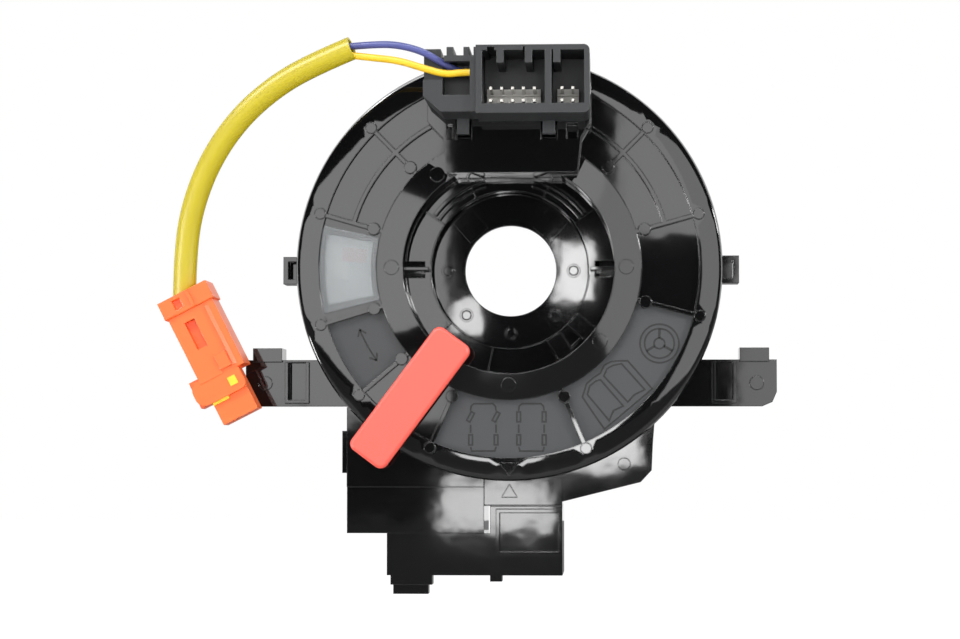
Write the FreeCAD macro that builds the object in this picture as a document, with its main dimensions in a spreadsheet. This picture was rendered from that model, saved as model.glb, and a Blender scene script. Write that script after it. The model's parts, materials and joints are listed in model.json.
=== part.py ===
import FreeCAD, Part
import math
import os
import re
import Sketcher

# Steering clock spring: the wound flat-cable unit behind a steering wheel.
# It is modelled face up: x to the right, y up the face, z towards the driver,
# with z = 0 on the rotor's face. Every piece is then stood upright on its axis.

SIZES = {
    # rotor face, ring by ring from the rim to the bore
    "rim_radius": 52.0,
    "rim_round": 1.0,
    "disc_thick": 3.0,
    "panel_outer": 46.4,
    "panel_inner": 32.3,
    "panel_depth": 1.2,
    "well_radius": 25.8,
    "well_depth": 9.0,
    "ledge_inner": 19.4,
    "shell_wall": 1.6,
    "drum_radius": 30.0,
    "bore_radius": 11.3,
    "bore_plate_depth": 15.0,
    "bore_plate_thick": 1.8,
    # radial ribs, their end pads and the two arc ribs
    "rib_width": 1.0,
    "rib_end_inset": 0.4,
    "pad_height": 0.25,
    "outer_pad_radius": 1.35,
    "outer_pad_place": 47.9,
    "inner_pad_radius": 1.5,
    "inner_pad_place": 34.3,
    "arc_rib_place": 39.4,
    "left_arc_start": 115.0,
    "left_arc_sweep": 49.0,
    "right_arc_start": 15.5,
    "right_arc_sweep": 49.5,
    # double walls and catches round the hub well
    "well_rib_place": 22.4,
    "well_rib_thick": 0.9,
    "well_rib_height": 2.2,
    "well_rib_sweep": 38.0,
    "well_rib_left": 106.0,
    "well_rib_right": 37.0,
    "catch_width": 4.0,
    "catch_height": 4.5,
    "catch_angle": 312.0,
    "catch_spread": 9.0,
    "clip_slot": 4.0,
    "clip_rib": 0.8,
    # raised marks that line up in the straight-ahead position
    "mark_width": 5.0,
    "mark_height": 3.2,
    "mark_thick": 0.3,
    "rotor_mark_top": -47.6,
    "stator_mark_base": -56.0,
    # raised deck that carries the switch connector
    "deck_left": -14.8,
    "deck_right": 16.9,
    "deck_lower": 22.6,
    "deck_height": 5.0,
    "deck_side_low": 31.0,
    "window_width": 3.8,
    "window_low": 30.6,
    "window_depth": 3.6,
    "left_window": -12.6,
    "right_window": 8.1,
    "pocket_depth": 2.6,
    "pocket_wall": 0.8,
    "pocket_width": 3.4,
    # switch connector and the lead clamp beside it
    "block_left": -19.5,
    "block_right": 20.0,
    "block_lower": 35.0,
    "block_upper": 51.2,
    "block_front": 22.0,
    "block_wall": 1.3,
    "block_divide": 1.6,
    "block_floor": 6.0,
    "wide_cavity_left": -5.4,
    "narrow_cavity_left": 11.0,
    "block_corner": 1.4,
    "key_width": 1.7,
    "key_height": 3.0,
    "clamp_right": -6.9,
    "clamp_front": 20.0,
    "clamp_floor": 12.0,
    "clamp_wall": 1.5,
    "notch_depth": 2.0,
    # contacts
    "pin_width": 0.64,
    "pin_pitch": 2.58,
    "pin_first_wide": -3.5,
    "pin_first_narrow": 13.4,
    "pin_row_upper": 41.3,
    "pin_row_lower": 38.4,
    "pin_front": 18.5,
    "header_height": 3.0,
    "header_lip": 1.1,
    # sight window over the cable chamber
    "sight_start": 164.0,
    "sight_sweep": 33.0,
    "sight_thick": 0.8,
    "sight_seat": 1.4,
    "pane_turn": 3.0,
    "pane_seat_turn": 2.4,
    # stator case: wall of the cable chamber
    "case_radius": 50.0,
    "case_wall": 1.6,
    "case_front": -3.5,
    "cover_front": -22.0,
    "cover_thick": 2.0,
    "running_gap": 0.1,
    "neck_wall": 1.6,
    "seat_gap": 0.1,
    # side lugs and snap loops
    "lug_reach": 65.4,
    "lug_upper": -22.3,
    "lug_lower": -33.8,
    "lug_front": -9.0,
    "lug_thick": 5.0,
    "lug_corner": 3.6,
    "latch_inner": 56.3,
    "latch_outer": 63.5,
    "latch_height": 2.9,
    "latch_depth": 9.0,
    "lug_slot_inner": 50.4,
    "lug_slot_outer": 54.8,
    "lug_slot_upper": -22.9,
    "lug_slot_lower": -32.2,
    "lug_slot_depth": 3.4,
    "lug_pad_place": 60.5,
    "lug_pad_radius": 1.7,
    "loop_reach": 56.4,
    "loop_half": 3.4,
    "loop_front": -11.0,
    "loop_depth": 7.0,
    "loop_slot": 4.4,
    "loop_bar": 1.2,
    # lower housing with the two sockets of the car's loom
    "house_left": -39.8,
    "house_right": -6.2,
    "house_upper": -34.0,
    "house_lower": -64.8,
    "house_step": -53.5,
    "house_front": -4.0,
    "house_rear": -30.0,
    "step_drop": 0.8,
    "tab_reach": 1.2,
    "tab_upper": -39.8,
    "tab_lower": -50.1,
    "plug_left": -30.1,
    "plug_right": 12.9,
    "plug_lower": -75.1,
    "plug_front": -6.0,
    "box_left": -4.8,
    "box_upper": -58.2,
    "frame_left": -3.3,
    "frame_upper": -58.9,
    "frame_lower": -70.2,
    "frame_width": 0.9,
    "frame_proud": 1.0,
    "foot_left": -29.2,
    "foot_right": -19.0,
    "foot_lower": -77.4,
    "toe_left": -28.6,
    "toe_right": -20.0,
    "toe_lower": -79.7,
    "foot_thick": 6.0,
    "divider_right": -1.9,
    "divider_lower": -76.6,
    "socket_wall": 1.5,
    "socket_depth": 17.0,
    "main_socket_right": -7.6,
    "main_socket_upper": -58.0,
    "airbag_socket_left": -3.0,
    "airbag_socket_upper": -60.5,
    "main_pin_pitch": 2.5,
    "loom_pin_length": 12.0,
    "plate_left": -11.6,
    "plate_front": -5.0,
    "plate_thick": 3.0,
    "bracket_front": -5.5,
    "bracket_thick": 4.0,
    "bracket_pad_radius": 1.5,
    # rear half of the rotor and the cancelling cam
    "sleeve_wall": 1.5,
    "flange_radius": 30.0,
    "flange_gap": 0.4,
    "flange_thick": 1.6,
    "cam_radius": 24.5,
    "cam_thick": 5.0,
    "cam_lobe": 3.0,
    "cam_lobe_width": 6.0,
    # ribbon, its slip sheets, roller carrier and rollers
    "ribbon_gap": 0.3,
    "ribbon_front": -4.6,
    "ribbon_rear": -20.2,
    "inner_turns": 1.4,
    "outer_turns": 1.6,
    "ribbon_thick": 0.4,
    "slip_thick": 0.2,
    "carrier_inner": 31.6,
    "carrier_outer": 46.8,
    "carrier_thick": 0.8,
    "roller_place": 39.2,
    "roller_radius": 6.2,
    "roller_front": -5.2,
    "roller_pin": 1.6,
    "roller_fit": 0.08,
    "roller_start": 175.0,
    "mark_plate_width": 6.0,
    "mark_plate_height": 3.4,
    "mark_plate_place": 38.2,
    "cable_end_width": 16.0,
    "cable_end_height": 4.0,
    "cable_end_thick": 3.0,
    # lock tab that holds the rotor centred until the wheel is fitted
    "tab_width": 10.6,
    "tab_length": 36.8,
    "tab_inner": 21.3,
    "tab_angle": 233.2,
    "tab_under": 0.6,
    "tab_thick": 3.4,
    "tab_round": 2.0,
    "tab_leg_place": 40.0,
    "tab_leg_width": 4.0,
    "tab_leg_thick": 2.4,
    "leg_gap": 0.3,
    # airbag lead: two wires, a sleeve and the plug
    "wire_diameter": 1.7,
    "lead_diameter": 5.6,
    "lead_plug_lean": 27.0,
    "lead_plug_x": -78.1,
    "lead_plug_y": -6.6,
    "lead_plug_front": 13.0,
    "lead_plug_back": 1.0,
    "collar_half": 6.5,
    "collar_length": 4.6,
    "collar_wall": 1.2,
    "shell_half": 5.9,
    "shell_length": 22.0,
    "nose_left": -5.4,
    "nose_right": 3.8,
    "nose_length": 33.0,
    "nose_front": 11.0,
    "nose_back": 3.0,
    "catch_left": -8.6,
    "catch_top": -20.2,
    "catch_bottom": -27.0,
    "lock_left": 0.4,
    "lock_right": 2.8,
    "contact_pitch": 3.6,
    "contact_radius": 0.9,
}

RIB_ANGLES = (15.5, 45.0, 134.5, 164.0, 197.0, 220.5, 246.4, 293.1, 345.5)
ROLLER_COUNT = 6

doc = FreeCAD.newDocument("clock_spring")
sheet = doc.addObject("Spreadsheet::Sheet", "sizes")
for row, (alias, value) in enumerate(SIZES.items(), start=1):
    sheet.set(f"A{row}", alias)
    sheet.set(f"B{row}", str(value))
    sheet.setAlias(f"B{row}", alias)
doc.recompute()

QUARTER_TURN = FreeCAD.Rotation(FreeCAD.Vector(1, 0, 0), 90)
pieces = []


def size(alias):
    return float(sheet.get(alias))


# The row's origin is the centre of the column bore, in the middle of its plate.
UPRIGHT = FreeCAD.Placement(
    FreeCAD.Vector(0, -size("bore_plate_depth") - size("bore_plate_thick") / 2, 0), QUARTER_TURN)


def bind(item, **expressions):
    """Tie properties to the sheet; every name with an underscore is a size."""
    for name, text in expressions.items():
        text = re.sub(r"\b([a-z]+(?:_[a-z0-9]+)+)\b", r"sizes.\1", str(text))
        item.setExpression(name.replace("__", "."), text)
    return item


def at(item, x="0", y="0", z="0"):
    """Place an item by three expressions."""
    return bind(item, Placement__Base__x=x, Placement__Base__y=y, Placement__Base__z=z)


def turned_by(item, angle):
    """Turn an item about its own origin, in the plane of the face."""
    return bind(item, Placement__Rotation__Axis__z="1", Placement__Rotation__Angle=angle)


def cylinder(radius, low, high, x="0", y="0"):
    solid = bind(doc.addObject("Part::Cylinder", "cylinder"), Radius=radius, Height=f"({high}) - ({low})")
    return at(solid, x, y, low)


def block(left, right, lower, upper, low, high):
    """A block between two x, two y and two z values."""
    solid = doc.addObject("Part::Box", "block")
    bind(solid, Length=f"({right}) - ({left})", Width=f"({upper}) - ({lower})", Height=f"({high}) - ({low})")
    return at(solid, left, lower, low)


def fused(*items):
    union = doc.addObject("Part::MultiFuse", "union")
    union.Shapes = list(items)
    union.Refine = False
    return union


def cut(base, *tools):
    for tool in tools:
        result = doc.addObject("Part::Cut", "cut")
        result.Base = base
        result.Tool = tool
        base = result
    base.Refine = False
    return base


def shared(first, second):
    result = doc.addObject("Part::Common", "shared")
    result.Base = first
    result.Tool = second
    return result


def sector(outer, inner, low, high, start, sweep):
    """Part of a flat ring, from a start angle through a sweep."""
    disc = turned_by(bind(cylinder(outer, low, high), Angle=sweep), start)
    return cut(disc, cylinder(inner, f"({low}) - 1", f"({high}) + 1"))


def spoke(angle, inner, outer, width, low, high):
    """A bar that lies along a radius at an angle."""
    bar = doc.addObject("Part::Box", "spoke")
    bind(bar, Length=f"({outer}) - ({inner})", Width=width, Height=f"({high}) - ({low})")
    at(bar, f"({inner}) * cos({angle}) + ({width}) / 2 * sin({angle})",
       f"({inner}) * sin({angle}) - ({width}) / 2 * cos({angle})", low)
    return turned_by(bar, angle)


def outline(points):
    """A closed sketch of straight edges; each corner is held by two expressions."""
    sketch = doc.addObject("Sketcher::SketchObject", "outline")
    count = len(points)
    rough = [FreeCAD.Vector(math.cos(math.tau * i / count), math.sin(math.tau * i / count), 0)
             for i in range(count)]
    for i in range(count):
        sketch.addGeometry(Part.LineSegment(rough[i], rough[(i + 1) % count]), False)
    for i in range(count):
        sketch.addConstraint(Sketcher.Constraint("Coincident", i, 2, (i + 1) % count, 1))
    for i, (x, y) in enumerate(points):
        for kind, text in (("DistanceX", x), ("DistanceY", y)):
            number = sketch.addConstraint(Sketcher.Constraint(kind, -1, 1, i, 1, 1.0))
            bind(sketch, **{f"Constraints[{number}]": text})
    return sketch


def prism(points, low, high):
    """An outline carried straight through the piece's depth."""
    solid = doc.addObject("Part::Extrusion", "prism")
    solid.Base = outline(points)
    solid.DirMode = "Custom"
    solid.Dir = FreeCAD.Vector(0, 0, 1)
    solid.Solid = True
    bind(solid, LengthFwd=f"({high}) - ({low})")
    return at(solid, "0", "0", low)


def revolved(points):
    """A profile of radius and depth, turned about the axis."""
    profile = outline(points)
    profile.Placement = FreeCAD.Placement(FreeCAD.Vector(0, 0, 0), QUARTER_TURN)
    solid = doc.addObject("Part::Revolution", "revolved")
    solid.Source = profile
    solid.Axis = FreeCAD.Vector(0, 0, 1)
    solid.Angle = 360
    solid.Solid = True
    return solid


def mirrored(item):
    """The same form on the other side of the face."""
    copy = doc.addObject("Part::Mirroring", "mirrored")
    copy.Source = item
    copy.Normal = FreeCAD.Vector(1, 0, 0)
    return copy


def filleted(base, radius, edges):
    """Round chosen edges of a base; edges is a test on each edge."""
    doc.recompute()
    result = doc.addObject("Part::Fillet", "filleted")
    result.Base = base
    result.Edges = [(i + 1, size(radius), size(radius))
                    for i, edge in enumerate(base.Shape.Edges) if edges(edge)]
    return result


def upright_edge(edge):
    """True for a straight edge along the depth of the piece."""
    if edge.Curve.TypeId != "Part::GeomLine":
        return False
    return abs(edge.tangentAt(edge.FirstParameter).z) > 0.999


def whole(item):
    """A plain solid placed from the sheet, wrapped so that it can be turned as a piece."""
    if not any("Placement" in name for name, text in item.ExpressionEngine):
        return item
    wrapped = doc.addObject("Part::Refine", "whole")
    wrapped.Source = item
    return wrapped


def piece(item, label):
    """A finished piece: named, and stood upright on its axis."""
    item = whole(item)
    item.Label = label
    item.Placement = UPRIGHT.multiply(item.Placement)
    pieces.append(item)
    return item


# Rotor disc: the moulded face, drum and neck that turn with the wheel

def rotor_disc():
    body = revolved([
        ("well_radius", "0"),
        ("panel_inner", "0"),
        ("panel_inner", "-panel_depth"),
        ("panel_outer", "-panel_depth"),
        ("panel_outer", "0"),
        ("rim_radius - rim_round * 1.4", "0"),
        ("rim_radius - rim_round * 0.4", "-rim_round * 0.4"),
        ("rim_radius", "-rim_round * 1.4"),
        ("rim_radius", "-disc_thick"),
        ("drum_radius", "-disc_thick"),
        ("drum_radius", "cover_front + slip_thick + 0.4"),
        ("drum_radius - shell_wall", "cover_front + slip_thick + 0.4"),
        ("drum_radius - shell_wall", "-disc_thick"),
        ("well_radius + shell_wall", "-disc_thick"),
        ("well_radius + shell_wall", "-well_depth - shell_wall"),
        ("ledge_inner + neck_wall", "-well_depth - shell_wall"),
        ("ledge_inner + neck_wall", "cover_front - cover_thick"),
        ("ledge_inner", "cover_front - cover_thick"),
        ("ledge_inner", "-well_depth"),
        ("well_radius", "-well_depth"),
    ])
    clip_slots = [spoke(angle, "ledge_inner + neck_wall", "well_radius", "clip_slot",
                        "-well_depth - shell_wall - 1", "-well_depth + 1") for angle in ("0", "180")]
    sight_hole = sector("panel_outer - sight_seat", "panel_inner + sight_seat", "-disc_thick - 1", "1",
                        "sight_start + pane_turn + pane_seat_turn",
                        "sight_sweep - 2 * (pane_turn + pane_seat_turn)")
    leg_hole = spoke("tab_angle", "tab_leg_place - tab_leg_thick / 2 - leg_gap",
                     "tab_leg_place + tab_leg_thick / 2 + leg_gap", "tab_leg_width + 2 * leg_gap",
                     "-disc_thick - 1", "1")
    parts = [cut(body, *clip_slots, sight_hole, leg_hole)]
    for angle in RIB_ANGLES:
        parts.append(spoke(angle, "panel_inner - rib_end_inset", "panel_outer + rib_end_inset",
                           "rib_width", "-panel_depth", "0"))
        for radius, place in (("outer_pad_radius", "outer_pad_place"), ("inner_pad_radius", "inner_pad_place")):
            parts.append(cylinder(radius, "-panel_depth", "pad_height",
                                  f"{place} * cos({angle})", f"{place} * sin({angle})"))
    for start, sweep in (("left_arc_start", "left_arc_sweep"), ("right_arc_start", "right_arc_sweep")):
        parts.append(sector("arc_rib_place + rib_width / 2", "arc_rib_place - rib_width / 2",
                            "-panel_depth", "0", start, sweep))
    for start in ("well_rib_left", "well_rib_right"):
        parts.append(sector("well_rib_place + well_rib_thick", "well_rib_place", "-well_depth",
                            "-well_depth + well_rib_height", start, "well_rib_sweep"))
    deck = prism([
        ("deck_left", "deck_lower"),
        ("deck_right", "deck_lower"),
        ("deck_right + pocket_width / 4", "deck_side_low"),
        ("block_right", "block_lower"),
        ("block_right", "block_upper - block_wall"),
        ("block_left", "block_upper - block_wall"),
        ("block_left", "block_lower"),
        ("deck_left - pocket_width / 4", "deck_side_low"),
    ], "-panel_depth", "deck_height")
    chord = shared(cylinder("well_radius + 0.1", "-well_depth", "0"),
                   block("-well_radius", "well_radius", "deck_lower", "well_radius + 1", "-well_depth", "0"))
    parts.append(chord)
    for turn in ("-catch_spread", "catch_spread"):
        parts.append(spoke(f"(catch_angle + {turn})", "ledge_inner + 0.5", "well_radius + 0.5", "catch_width",
                           "-well_depth", "-well_depth + catch_height"))
    for angle in ("0", "180"):
        parts.append(spoke(angle, "ledge_inner + 0.5", "well_radius + 0.5", "clip_rib",
                           "-well_depth - shell_wall", "-well_depth + catch_height"))
    mark = prism([("-mark_width / 2", "rotor_mark_top"), ("mark_width / 2", "rotor_mark_top"),
                  ("0", "rotor_mark_top - mark_height")], "-panel_depth / 2", "mark_thick")
    parts.append(mark)
    windows = [block(left, f"{left} + window_width", "window_low", "block_lower + 1",
                     "deck_height - window_depth", "deck_height + 1")
               for left in ("left_window", "right_window")]
    side_pockets = [block("deck_right - pocket_width + pocket_wall", "deck_right",
                          "block_lower - 4.2", "block_lower - 0.6",
                          "deck_height - pocket_depth", "deck_height + 1"),
                    block("deck_left", "deck_left + pocket_width - pocket_wall - 1.2",
                          "block_lower - 4.2", "block_lower - 0.6",
                          "deck_height - pocket_depth", "deck_height + 1")]
    end_pocket = block("-cable_end_width / 2 - seat_gap", "cable_end_width / 2 + seat_gap",
                       "pin_row_upper - seat_gap", "pin_row_upper + cable_end_height + seat_gap",
                       "deck_height - cable_end_thick", "deck_height + 1")
    parts.append(cut(deck, *windows, *side_pockets, end_pocket))
    return piece(fused(*parts), "rotor_disc")


rotor_disc()


def sight_window():
    """Clear moulded pane that sits in the panel's recess."""
    return piece(sector("panel_outer - seat_gap", "panel_inner + seat_gap", "-panel_depth",
                        "-panel_depth + sight_thick", "sight_start + pane_turn",
                        "sight_sweep - 2 * pane_turn"), "sight_window")


sight_window()


def front_slip_sheet():
    """Thin clear film against the back of the disc, on which the ribbon slides."""
    ring = cut(cylinder("case_radius - case_wall - 0.6", "-disc_thick - slip_thick", "-disc_thick"),
               cylinder("drum_radius + seat_gap", "-disc_thick - 1", "0"))
    return piece(ring, "front_slip_sheet")


front_slip_sheet()


# Switch connector, lead clamp and contacts on the deck

def snap_arm(left):
    """Arm of the connector that snaps into a window of the deck."""
    return block(f"{left} + 0.4", f"{left} + window_width - 0.4", "window_low + 1.2", "block_lower + 1",
                 "deck_height - 1.2", "deck_height + 1.4")


def switch_connector():
    shell = block("clamp_right", "block_right", "block_lower", "block_upper", "deck_height", "block_front")
    shell = filleted(shell, "block_corner",
                     lambda edge: upright_edge(edge) and edge.CenterOfMass.x > 0)
    wide = block("wide_cavity_left", "narrow_cavity_left - block_divide", "block_lower + block_wall + 1",
                 "block_upper - block_wall", "block_floor", "block_front + 1")
    narrow = block("narrow_cavity_left", "block_right - block_wall", "block_lower + block_wall + 1",
                   "block_upper - block_wall", "block_floor", "block_front + 1")
    slots = []
    for left in ("wide_cavity_left + 9.6", "wide_cavity_left + 1.2"):
        slots.append(block(left, f"{left} + key_width", "block_upper - block_wall - 1",
                           "block_upper - 0.5", "block_floor", "block_front + 1"))
    body = cut(shell, wide, narrow, *slots)
    keys = []
    for left in ("wide_cavity_left + 3.4", "wide_cavity_left + 11.8 - key_width",
                 "narrow_cavity_left + 0.4"):
        keys.append(block(left, f"{left} + key_width", "block_upper - block_wall - key_height",
                          "block_upper - 0.4", "block_floor - 0.5", "block_front"))
    return piece(fused(body, *keys, snap_arm("right_window")), "switch_connector")


switch_connector()


def lead_clamp():
    """Comb on the left of the connector that grips the two wires."""
    left, right = "block_left", "clamp_right"
    body = prism([
        (f"{left}", "block_lower + 4.4"),
        (f"{left} + 4.2", "block_lower + 0.6"),
        (f"{right}", "block_lower + 0.6"),
        (f"{right}", "block_upper - 0.2"),
        (f"{left}", "block_upper - 0.2"),
    ], "deck_height", "clamp_front")
    hollow = block(f"{left} + 4.6", f"{right} - clamp_wall", "block_lower + 4.6", "block_upper - 3.6",
                   "clamp_floor", "clamp_front + 1")
    entry = block(f"{left} - 1", f"{left} + 5", "block_lower + 8.2", "block_upper + 1",
                  "clamp_front - 3.4", "clamp_front + 1")
    gaps = [block(f"{left} + {offset}", f"{left} + {offset} + {width}", "block_upper - notch_depth - 0.2",
                  "block_upper + 1", "deck_height - 1", "clamp_front + 1")
            for offset, width in (("4.0", "1.6"), ("7.2", "2.4"), ("11.0", "1.0"))]
    return piece(fused(cut(body, hollow, entry, *gaps), snap_arm("left_window")), "lead_clamp")


lead_clamp()


def header(label, first, count):
    """Pale strip that holds the contacts at the bottom of a cavity."""
    left = f"{first} - pin_pitch / 2"
    right = f"{first} + ({count} - 0.5) * pin_pitch"
    body = block(left, right, "pin_row_lower - 0.9", "pin_row_upper + 0.9", "block_floor",
                 "block_floor + header_height")
    lips = [block(left, right, f"{row} - 0.9", f"{row} - 0.4", "block_floor", "block_floor + header_height + header_lip")
            for row in ("pin_row_upper", "pin_row_lower")]
    return piece(fused(body, *lips), label)


header("header_wide", "pin_first_wide", 5)
header("header_narrow", "pin_first_narrow", 2)


def contact_pins(label, first, count):
    pins = []
    for row in ("pin_row_upper", "pin_row_lower"):
        for i in range(count):
            pins.append(block(f"{first} + {i} * pin_pitch - pin_width / 2",
                              f"{first} + {i} * pin_pitch + pin_width / 2",
                              f"{row} - pin_width / 2", f"{row} + pin_width / 2",
                              "block_floor + header_height", "pin_front"))
    group = doc.addObject("Part::Compound", "pins")
    group.Links = pins
    return piece(group, label)


contact_pins("pins_wide", "pin_first_wide", 5)
contact_pins("pins_narrow", "pin_first_narrow", 2)


def rotor_cable_end():
    """Overmoulded strip that joins the ribbon to the connector's contacts."""
    return piece(block("-cable_end_width / 2", "cable_end_width / 2", "pin_row_upper",
                       "pin_row_upper + cable_end_height", "deck_height - cable_end_thick",
                       "deck_height"), "rotor_cable_end")


rotor_cable_end()


# Rear half of the rotor and the cancelling cam behind it

def hub_sleeve():
    """Sleeve clipped into the neck from behind; its plate closes the well round the shaft."""
    outer = "ledge_inner - seat_gap"
    rear = "cover_front - cover_thick - flange_gap - flange_thick"
    body = revolved([
        ("bore_radius", "-bore_plate_depth"),
        (outer, "-bore_plate_depth"),
        (outer, "cover_front - cover_thick - flange_gap"),
        ("flange_radius", "cover_front - cover_thick - flange_gap"),
        ("flange_radius", rear),
        (outer, rear),
        (outer, f"{rear} - cam_thick"),
        (f"{outer} - sleeve_wall", f"{rear} - cam_thick"),
        (f"{outer} - sleeve_wall", "-bore_plate_depth - bore_plate_thick"),
        ("bore_radius", "-bore_plate_depth - bore_plate_thick"),
    ])
    return piece(body, "hub_sleeve")


hub_sleeve()


def cancel_cam():
    """Ring with two lobes that resets the turn-signal lever."""
    rear = "cover_front - cover_thick - flange_gap - flange_thick"
    ring = cylinder("cam_radius", f"{rear} - cam_thick", rear)
    lobes = [spoke(angle, "cam_radius - 1", "cam_radius + cam_lobe", "cam_lobe_width",
                   f"{rear} - cam_thick", rear) for angle in (90, 270)]
    body = cut(fused(ring, *lobes), cylinder("ledge_inner", f"{rear} - cam_thick - 1", f"{rear} + 1"))
    return piece(body, "cancel_cam")


cancel_cam()


# Lock tab

def lock_tab():
    """Bright pull-off strap with a foot that stands in the rotor's slot."""
    strap = doc.addObject("Part::Box", "strap")
    bind(strap, Length="tab_length", Width="tab_width", Height="tab_thick")
    at(strap, "tab_inner", "-tab_width / 2", "tab_under")
    strap = filleted(strap, "tab_round", upright_edge)
    leg = block("tab_leg_place - tab_leg_thick / 2", "tab_leg_place + tab_leg_thick / 2",
                "-tab_leg_width / 2", "tab_leg_width / 2", "-disc_thick", "tab_under + 0.5")
    body = fused(strap, leg)
    body.Placement = FreeCAD.Placement(FreeCAD.Vector(0, 0, 0),
                                       FreeCAD.Rotation(FreeCAD.Vector(0, 0, 1), size("tab_angle")))
    return piece(body, "lock_tab")


lock_tab()


# Stator case: chamber wall, lugs, snap loops and the lower housing

def lug():
    """One mounting lug on the left; the right one is its mirror image."""
    plate = prism([
        ("-lug_reach", "lug_upper"),
        ("-case_radius * 0.86", "lug_upper"),
        ("-case_radius * 0.72", "lug_lower"),
        ("-lug_reach + lug_corner", "lug_lower"),
        ("-lug_reach + lug_corner * 0.3", "lug_lower + lug_corner * 0.3"),
        ("-lug_reach", "lug_lower + lug_corner"),
    ], "lug_front - lug_thick", "lug_front")
    latch = block("-latch_outer", "-latch_inner", "lug_upper - 0.5", "lug_upper + latch_height",
                  "lug_front - latch_depth + 1", "lug_front + 1")
    pad = cylinder("lug_pad_radius", "lug_front - 1", "lug_front + 0.3", "-lug_pad_place",
                   "(lug_upper + lug_lower) / 2")
    frame = block("-lug_slot_outer - 0.8", "-lug_slot_inner + 0.8", "lug_slot_lower - 0.8",
                  "lug_slot_upper", "lug_front - 1", "lug_front + 0.8")
    slot = block("-lug_slot_outer", "-lug_slot_inner", "lug_slot_lower", "lug_slot_upper",
                 "lug_front - lug_slot_depth", "lug_front + 2")
    return cut(fused(plate, latch, pad, frame), slot)


def snap_loop():
    loop = block("-loop_reach", "-case_radius + 1", "-loop_half", "loop_half",
                 "loop_front - loop_depth", "loop_front")
    hole = block("-loop_reach + loop_bar", "-case_radius - 0.6", "-loop_slot / 2", "loop_slot / 2",
                 "loop_front - loop_depth - 1", "loop_front + 1")
    return cut(loop, hole)


def lower_housing():
    upper = block("house_left", "house_right", "house_step", "house_upper", "house_rear", "house_front")
    lower = block("house_left", "house_right", "house_lower", "house_step", "house_rear",
                  "house_front - step_drop")
    tab = block("house_left - tab_reach", "house_left", "tab_lower", "tab_upper",
                "house_front - 8", "house_front - 1")
    base = block("plug_left", "plug_right", "plug_lower", "house_lower", "house_rear", "plug_front")
    box = block("box_left", "plug_right", "plug_lower", "box_upper", "house_rear", "plug_front")
    frame = cut(block("frame_left", "plug_right", "frame_lower", "frame_upper", "plug_front - 0.5",
                      "plug_front + frame_proud"),
                block("frame_left + frame_width", "plug_right - frame_width", "frame_lower + frame_width",
                      "frame_upper - frame_width", "plug_front", "plug_front + 3"))
    foot = block("foot_left", "foot_right", "foot_lower", "plug_lower", "plug_front - foot_thick", "plug_front")
    toe = block("toe_left", "toe_right", "toe_lower", "foot_lower", "plug_front - foot_thick",
                "plug_front - 1")
    divider = block("box_left", "divider_right", "divider_lower", "plug_lower",
                    "plug_front - foot_thick", "plug_front")
    plate = block("plate_left", "plug_right", "box_upper + 0.3", "-case_radius + 3",
                  "plate_front - plate_thick", "plate_front")
    web = block("plate_left", "plug_right", "box_upper", "-case_radius + 4", "house_rear + 8",
                "plate_front - plate_thick")
    bracket = prism([("plug_right - 0.5", "-48"), ("35.4", "-38.0"), ("35.0", "-43.0"), ("34.7", "-49.4"),
                     ("32.0", "-52.3"), ("plug_right - 0.5", "-57.2")],
                    "bracket_front - bracket_thick", "bracket_front")
    pad = cylinder("bracket_pad_radius", "bracket_front - 1", "bracket_front + 0.3", "28.0", "-47.9")
    mark = prism([("-mark_width / 2.6", "stator_mark_base"), ("mark_width / 2.6", "stator_mark_base"),
                  ("0", "stator_mark_base + mark_height")], "plate_front - 1", "plate_front + mark_thick")
    return [upper, lower, tab, base, box, frame, foot, toe, divider, plate, web, bracket, pad, mark]


def stator_case():
    wall = cylinder("case_radius", "cover_front", "case_front")
    left_lug = lug()
    left_loop = snap_loop()
    parts = [wall, left_lug, mirrored(left_lug), left_loop, mirrored(left_loop), *lower_housing()]
    chamber = cylinder("case_radius - case_wall", "cover_front - 1", "case_front + 3")
    cover_seat = cylinder("case_radius + seat_gap", "house_rear - 1", "cover_front")
    main_socket = block("plug_left + socket_wall", "main_socket_right", "plug_lower + socket_wall",
                        "main_socket_upper", "house_rear - 1", "house_rear + socket_depth")
    airbag_socket = block("airbag_socket_left", "plug_right - socket_wall", "plug_lower + socket_wall",
                          "airbag_socket_upper", "house_rear - 1", "house_rear + socket_depth")
    end_pocket = block("-22 - cable_end_width / 2 - seat_gap", "-22 + cable_end_width / 2 + seat_gap",
                       "house_step - cable_end_height / 2 - seat_gap",
                       "house_step + cable_end_height / 2 + seat_gap", "house_rear - 1",
                       "house_rear + 12")
    return piece(cut(fused(*parts), chamber, cover_seat, main_socket, airbag_socket, end_pocket),
                 "stator_case")


stator_case()


def rear_cover():
    """Annular plate that closes the chamber and carries the rotor's neck."""
    plate = cylinder("case_radius", "cover_front - cover_thick", "cover_front")
    hole = cylinder("ledge_inner + neck_wall + running_gap", "cover_front - cover_thick - 1", "cover_front + 1")
    return piece(cut(plate, hole), "rear_cover")


rear_cover()


def rear_slip_sheet():
    ring = cut(cylinder("case_radius - case_wall - seat_gap", "cover_front", "cover_front + slip_thick"),
               cylinder("ledge_inner + neck_wall + 1", "cover_front - 1", "cover_front + 1"))
    return piece(ring, "rear_slip_sheet")


rear_slip_sheet()


def loom_pins(label, left, columns, upper, rows):
    floor = "house_rear + socket_depth"
    pins = []
    for row in range(rows):
        for column in range(columns):
            x = f"{left} + {column} * main_pin_pitch"
            y = f"{upper} - {row} * main_pin_pitch * 2"
            pins.append(block(f"{x} - pin_width / 2", f"{x} + pin_width / 2", f"{y} - pin_width / 2",
                              f"{y} + pin_width / 2", f"{floor} - loom_pin_length", floor))
    group = doc.addObject("Part::Compound", "pins")
    group.Links = pins
    return piece(group, label)


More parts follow.
